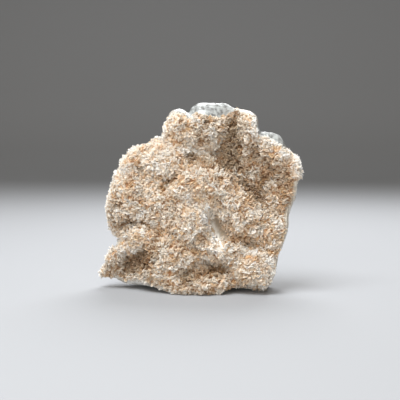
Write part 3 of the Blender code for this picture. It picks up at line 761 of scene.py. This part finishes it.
def planted(name, chosen):
    """One mesh of every chosen blade, with its tone, its tint and the way to its tip."""
    corners, sides, marks = [], [], []
    start = 0
    for prototype, is_pointed in ((CHISEL, False), (POINTED, True)):
        pick = chosen & (BLADES["pointed"] == is_pointed)
        shape, triangles = prototype
        count = int(pick.sum())
        along = BLADES["along"][pick]
        wide = BLADES["wide"][pick]
        thin = np.cross(along, wide)
        x = shape[:, 0][None, :, None] * (wide * BLADES["width"][pick, None])[:, None]
        y = shape[:, 1][None, :, None] * (thin * BLADES["thick"][pick, None])[:, None]
        z = shape[:, 2][None, :, None] * (along * BLADES["length"][pick, None])[:, None]
        corners.append((BLADES["root"][pick][:, None] + x + y + z).reshape(-1, 3))
        offsets = start + np.arange(count)[:, None, None] * len(shape)
        sides.append((triangles[None] + offsets).reshape(-1, 3))
        each = np.column_stack([BLADES[key][pick] for key in MARKS])
        each = np.repeat(each, len(shape), axis=0)
        marks.append(np.column_stack((each, np.tile(shape[:, 2], count))))
        start += count * len(shape)
    corners, sides, marks = np.vstack(corners), np.vstack(sides), np.vstack(marks)
    corners[:, 2] = np.maximum(corners[:, 2], BLADE_LOWEST)
    mesh = bpy.data.meshes.new(name)
    mesh.vertices.add(len(corners))
    mesh.loops.add(sides.size)
    mesh.polygons.add(len(sides))
    mesh.vertices.foreach_set("co", ((corners + PART_SHIFT) * MM).ravel())
    mesh.loops.foreach_set("vertex_index", sides.ravel())
    mesh.polygons.foreach_set("loop_start", np.arange(0, sides.size, 3))
    mesh.update(calc_edges=True)
    mesh.validate()
    mesh.shade_flat()
    for column, mark in enumerate((*MARKS, "tipward")):
        mesh.attributes.new(mark, "FLOAT", "POINT").data.foreach_set("value", marks[:, column])
    return dress(mesh, name, "stilbite_crust")


x, _, z = BLADES["root"].T
CROWN = z > CROWN_FROM
LEFT = ~CROWN & (x < LEFT_TO)
RIGHT = ~CROWN & (x > RIGHT_FROM)
CENTRE = ~CROWN & ~LEFT & ~RIGHT
blades = [
    planted("crown_blades", CROWN),
    planted("left_blades", LEFT),
    planted("right_blades", RIGHT),
    planted("upper_centre_blades", CENTRE & (z > CENTRE_SPLIT)),
    planted("lower_centre_blades", CENTRE & (z <= CENTRE_SPLIT)),
]

# %% Marks on the bed and the plate, and the two pieces themselves
def mark(bm, name, values):
    layer = bm.verts.layers.float.new(name)
    for v, value in zip(bm.verts, values):
        v[layer] = float(value)


PLATE_MARKS = {
    "mottled": [(4.0, 113.0, 19.0, 11.0, 0), (44.0, 95.0, 11.5, 6.5, -28)],
    "frosted": [(8.8, 36.0, 2.0, 9.0, 23), (11.6, 26.5, 4.0, 4.0, 0), (-37.0, 4.0, 9.0, 5.5, -12)],
    "bruised": [(12.4, 40.0, 2.0, 10.0, 27)],
}
MARK_CRISP = 2.0  # how sharply a mark begins


def share_inside(ovals):
    """1 inside the ovals, a half on them, and 0 from a little way outside them."""
    reach = [squared_reach(FLAT[:, 0], FLAT[:, 1], oval) for oval in ovals]
    return np.clip(0.5 + MARK_CRISP * (1 - np.minimum.reduce(reach)), 0, 1)


mark(plate, "broken", BREAKS)
for name, ovals in PLATE_MARKS.items():
    mark(plate, name, share_inside(ovals))
bed_tones, bed_warmth = tones_at(np.array([tuple(v.co) for v in bed.verts]))
mark(bed, "tone", bed_tones)
mark(bed, "warmth", bed_warmth)
plate_piece = finish_piece(plate, "chalcedony_plate", "chalcedony_matrix")
bed_piece = finish_piece(bed, "stilbite_bed", "stilbite_crust")
for piece in (plate_piece, bed_piece):
    piece.data.shade_smooth()

# %% [markdown]
# ## Stilbite
#
# Stilbite is a zeolite with a pearly shine on its broad faces. Light goes a little way into it, so
# a blade glows at its thin tip and is brownest at its root, where light is lost between its
# neighbours. Three ramps run from root to tip and paint this glow and this shade into the colour,
# for a dark place of painted shade, an even place and a pale place, mostly painted light. The tone
# of the place and the blade's own tint choose between them, and the warmth lays a warm layer over
# the result: iron stain, and in the creases painted warm shade. Subsurface scattering then lets
# the light through.

# %% Small helpers for node materials
def new_material(name):
    material = bpy.data.materials.new(name)
    material.use_nodes = True
    nodes = material.node_tree.nodes
    return material, nodes, material.node_tree.links, nodes["Principled BSDF"]


def ramp(nodes, links, stops, along):
    """A Color Ramp with these stops, each a position and a colour, read by the socket along."""
    node = nodes.new("ShaderNodeValToRGB")
    elements = node.color_ramp.elements
    elements[0].position, elements[0].color = stops[0][0], (*stops[0][1], 1)
    elements[1].position, elements[1].color = stops[-1][0], (*stops[-1][1], 1)
    for position, colour in stops[1:-1]:
        elements.new(position).color = (*colour, 1)
    links.new(along, node.inputs["Fac"])
    return node.outputs["Color"]


def attribute(nodes, name):
    node = nodes.new("ShaderNodeAttribute")
    node.attribute_name = name
    return node.outputs["Fac"]


def arithmetic(nodes, links, operation, first, second, third=None):
    """A Math node whose inputs are sockets or numbers."""
    node = nodes.new("ShaderNodeMath")
    node.operation = operation
    for slot, value in zip(node.inputs, (first, second, third)):
        if isinstance(value, (int, float)):
            slot.default_value = value
        elif value is not None:
            links.new(value, slot)
    return node.outputs[0]


def blended(nodes, links, blend_type, factor, first, second):
    node = nodes.new("ShaderNodeMix")
    node.data_type = "RGBA"
    node.blend_type = blend_type
    for name, value in (("Factor", factor), ("A", first), ("B", second)):
        if isinstance(value, bpy.types.NodeSocket):
            links.new(value, node.inputs[name])
        else:
            node.inputs[name].default_value = value
    return node.outputs["Result"]


def noise_at(nodes, links, scale, detail=3.0, roughness=0.55):
    """Noise on Object coordinates, whose scale is in waves to the millimetre."""
    place = nodes.new("ShaderNodeTexCoord")
    pattern = nodes.new("ShaderNodeTexNoise")
    pattern.inputs["Scale"].default_value = scale / MM
    pattern.inputs["Detail"].default_value = detail
    pattern.inputs["Roughness"].default_value = roughness
    links.new(place.outputs["Object"], pattern.inputs["Vector"])
    return pattern.outputs["Fac"]


def bump(nodes, links, height, shader, depth, strength=1.0):
    node = nodes.new("ShaderNodeBump")
    node.inputs["Distance"].default_value = depth * MM
    node.inputs["Strength"].default_value = strength
    links.new(height, node.inputs["Height"])
    links.new(node.outputs["Normal"], shader.inputs["Normal"])


# %% The blades' material
RUST_AND_WARM_SHADE = (0.86, 0.66, 0.47, 1.0)  # what a warmth of 1 multiplies the colour by: iron stain, and painted warm shade in creases
SHADE = (0.40, 0.33, 0.27, 1.0)  # what a tone of -1 multiplies it by
OWN_TONE = 0.3  # how far the tints of two blades can set their tones apart


def three_tones(nodes, links, along, tone, ramps):
    """The first ramp where the tone is 0, the second where it is 1 and the third where it is 2."""
    dark, even, pale = (ramp(nodes, links, stops, along) for stops in ramps)
    lower = blended(nodes, links, "MIX", tone, dark, even)
    above = arithmetic(nodes, links, "SUBTRACT", tone, 1.0)
    return blended(nodes, links, "MIX", above, lower, pale)


def stained_and_shaded(nodes, links, colour):
    """The colour under iron stain and painted warm shade, as warmth says, and painted shade below tone
    0.
    """
    warmed = blended(nodes, links, "MULTIPLY", attribute(nodes, "warmth"), colour, RUST_AND_WARM_SHADE)
    depth = arithmetic(nodes, links, "MULTIPLY", attribute(nodes, "tone"), -1.0)
    return blended(nodes, links, "MULTIPLY", depth, warmed, SHADE)


# Rows for painted shade, even and painted light; each darkens to painted shade at the root
BLADE_TONES = [
    [(0.25, (0.12, 0.065, 0.028)), (0.5, (0.26, 0.178, 0.104)), (1.0, (0.42, 0.335, 0.24))],
    [(0.25, (0.65, 0.478, 0.318)), (0.5, (0.79, 0.675, 0.550)), (1.0, (0.83, 0.78, 0.72))],
    [(0.25, (0.78, 0.700, 0.600)), (0.5, (0.84, 0.790, 0.730)), (1.0, (0.85, 0.835, 0.81))],
]


def blade_material():
    material, nodes, links, shader = new_material("stilbite_blade")
    own = arithmetic(nodes, links, "MULTIPLY_ADD", attribute(nodes, "tint"), OWN_TONE, -OWN_TONE / 2)
    tone = arithmetic(nodes, links, "ADD", attribute(nodes, "tone"), own)
    colour = three_tones(nodes, links, attribute(nodes, "tipward"), tone, BLADE_TONES)
    links.new(stained_and_shaded(nodes, links, colour), shader.inputs["Base Color"])
    shader.inputs["Roughness"].default_value = 0.52
    shader.inputs["Subsurface Weight"].default_value = 0.85
    shader.inputs["Subsurface Scale"].default_value = 0.8 * MM
    shader.inputs["Subsurface Radius"].default_value = (1.0, 0.9, 0.8)
    return material


BLADE_FINISH = blade_material()
for piece in blades:
    piece.data.materials.append(BLADE_FINISH)
print("blade pieces finished:", len(blades))

# %% The bed's material
# Rows for painted shade, an even place and paler places, which are mostly painted light
BED_TONES = [
    [(0.3, (0.08, 0.042, 0.018)), (0.5, (0.13, 0.075, 0.040)), (0.7, (0.20, 0.12, 0.07))],
    [(0.3, (0.46, 0.295, 0.170)), (0.5, (0.55, 0.385, 0.25)), (0.7, (0.64, 0.49, 0.35))],
    [(0.3, (0.72, 0.640, 0.550)), (0.5, (0.80, 0.750, 0.68)), (0.7, (0.88, 0.86, 0.82))],
]


def bed_material():
    material, nodes, links, shader = new_material("stilbite_bed")
    stains = noise_at(nodes, links, 0.45)
    colour = three_tones(nodes, links, stains, attribute(nodes, "tone"), BED_TONES)
    links.new(stained_and_shaded(nodes, links, colour), shader.inputs["Base Color"])
    shader.inputs["Roughness"].default_value = 0.5
    bump(nodes, links, noise_at(nodes, links, 2.4), shader, 0.3)
    return material


bed_piece.data.materials.append(bed_material())
print("bed finished")

# %% [markdown]
# ## Chalcedony
#
# Chalcedony is quartz in fibres too fine to see, so it looks like candle wax: grey-white, a little
# blue in thick places, with a soft shine and a glow under the skin. Where it stands bare at the
# crown and the shoulder it has dark grey mottles. The bruise on the face is brown with a frosted
# white edge, and the toe is frosted too. Where the plate was broken it is duller and creamier,
# because the light meets a thousand small faces. Attributes on the mesh say which is which.

# %% The plate's material
GROWN_TONES = [(0.35, (0.40, 0.36, 0.30)), (0.5, (0.50, 0.46, 0.40)), (0.65, (0.62, 0.59, 0.54))]
MOTTLED_TONES = [(0.36, (0.12, 0.12, 0.115)), (0.46, (0.27, 0.28, 0.28)), (0.58, (0.42, 0.445, 0.445))]
BROKEN_TONES = [(0.35, (0.60, 0.54, 0.45)), (0.5, (0.68, 0.62, 0.53)), (0.65, (0.74, 0.70, 0.62))]
PAINTS = {"frosted": (0.84, 0.83, 0.79, 1), "bruised": (0.38, 0.315, 0.24, 1)}


def chalcedony_material():
    material, nodes, links, shader = new_material("chalcedony")
    broken = attribute(nodes, "broken")
    clouds = noise_at(nodes, links, 0.16, 4.0)
    spots = noise_at(nodes, links, 0.42, 5.0, 0.62)
    grown = ramp(nodes, links, GROWN_TONES, clouds)
    mottled = ramp(nodes, links, MOTTLED_TONES, spots)
    colour = blended(nodes, links, "MIX", attribute(nodes, "mottled"), grown, mottled)
    for name, paint in PAINTS.items():
        colour = blended(nodes, links, "MIX", attribute(nodes, name), colour, paint)
    cream = ramp(nodes, links, BROKEN_TONES, clouds)
    colour = blended(nodes, links, "MIX", broken, colour, cream)
    links.new(colour, shader.inputs["Base Color"])
    rough = arithmetic(nodes, links, "MULTIPLY_ADD", broken, 0.25, 0.30)
    links.new(rough, shader.inputs["Roughness"])
    shader.inputs["Subsurface Weight"].default_value = 0.3
    shader.inputs["Subsurface Scale"].default_value = 1.2 * MM
    shader.inputs["Subsurface Radius"].default_value = (1.0, 0.95, 0.9)
    chips = nodes.new("ShaderNodeTexVoronoi")
    chips.inputs["Scale"].default_value = 0.45 / MM
    chips.inputs["Detail"].default_value = 2.0
    links.new(nodes.new("ShaderNodeTexCoord").outputs["Object"], chips.inputs["Vector"])
    facets = arithmetic(nodes, links, "MULTIPLY", chips.outputs["Distance"], broken)
    grain = arithmetic(nodes, links, "MULTIPLY", noise_at(nodes, links, 1.6, 4.0), 0.2)
    bump(nodes, links, arithmetic(nodes, links, "ADD", facets, grain), shader, 0.7)
    return material


plate_piece.data.materials.append(chalcedony_material())
print("plate finished")

# %% [markdown]
# ## Floor, light and camera
#
# A pale floor curves up into the background, so there is no horizon. The key light is a large panel
# high above and a little to the left, so every lobe is pale on top and shaded below. A second one
# behind draws a bright rim along the top edges. A wide, warm one low in front keeps the hollows
# readable, and a dim warm sky fills the rest. The camera looks slightly down on the specimen from
# about half a metre, as one would to fill the frame with a hand specimen.

# %% The floor, with its curve: how far back and how far up each strip goes, in metres
STRIPS = [(2.4, 0.0), (0.3, 0.05), (0.2, 0.15), (0.1, 0.3), (0.0, 2.0)]
FLOOR_HALF, FLOOR_FRONT = 3.0, -1.2


def curved_floor():
    bm = bmesh.new()
    front = [bm.verts.new((x, FLOOR_FRONT, 0)) for x in (-FLOOR_HALF, FLOOR_HALF)]
    edge = bm.edges.new(front)
    for back, rise in STRIPS:
        grown = bmesh.ops.extrude_edge_only(bm, edges=[edge])["geom"]
        ends = [item for item in grown if isinstance(item, bmesh.types.BMVert)]
        edges = [item for item in grown if isinstance(item, bmesh.types.BMEdge)]
        edge = next(item for item in edges if set(item.verts) == set(ends))
        bmesh.ops.translate(bm, verts=ends, vec=(0, back, rise))
    bmesh.ops.recalc_face_normals(bm, faces=bm.faces)
    mesh = bpy.data.meshes.new("floor")
    bm.to_mesh(mesh)
    bm.free()
    mesh.shade_smooth()
    floor = bpy.data.objects.new("floor", mesh)
    bpy.context.scene.collection.objects.link(floor)
    return floor


floor = curved_floor()
material, _, _, shader = new_material("floor_paper")
shader.inputs["Base Color"].default_value = (0.32, 0.33, 0.35, 1)
shader.inputs["Roughness"].default_value = 0.9
floor.data.materials.append(material)
print("floor faces:", len(floor.data.polygons))

# %% The light panels
AIM = Vector((0.0, 0.0, 0.055))


def panel(name, place, size, power, colour=(1, 1, 1)):
    light = bpy.data.lights.new(name, "AREA")
    light.size = size
    light.energy = power
    light.color = colour
    lamp = bpy.data.objects.new(name, light)
    lamp.location = place
    lamp.rotation_euler = (AIM - Vector(place)).to_track_quat("-Z", "Y").to_euler()
    bpy.context.scene.collection.objects.link(lamp)
    return lamp


panels = [
    panel("key", (-0.27, -0.33, 0.91), 0.60, 13.5, (0.98, 1.0, 1.01)),
    panel("rim", (0.1, 0.45, 0.6), 0.5, 6.0),
    panel("fill", (-0.10, -1.00, 0.25), 1.0, 9.0, (1.0, 0.94, 0.86)),
]
sky = bpy.data.worlds.new("studio")
sky.use_nodes = True
glow = sky.node_tree.nodes["Background"]
glow.inputs["Color"].default_value = (1.0, 0.90, 0.75, 1)
glow.inputs["Strength"].default_value = 0.24
bpy.context.scene.world = sky
print("lights:", len(panels))

# %% The camera
EYE = (0.0002, -0.5432, 0.098)
LOOKS_DOWN = 4.5  # degrees
lens = bpy.data.cameras.new("camera")
lens.lens = 80.0
lens.sensor_width = 36.0
eye = bpy.data.objects.new("camera", lens)
eye.location = EYE
eye.rotation_euler = (math.radians(90 - LOOKS_DOWN), 0, 0)
bpy.context.scene.collection.objects.link(eye)
bpy.context.scene.camera = eye
bpy.context.scene.view_settings.view_transform = "Standard"
print("camera lens in mm:", lens.lens)
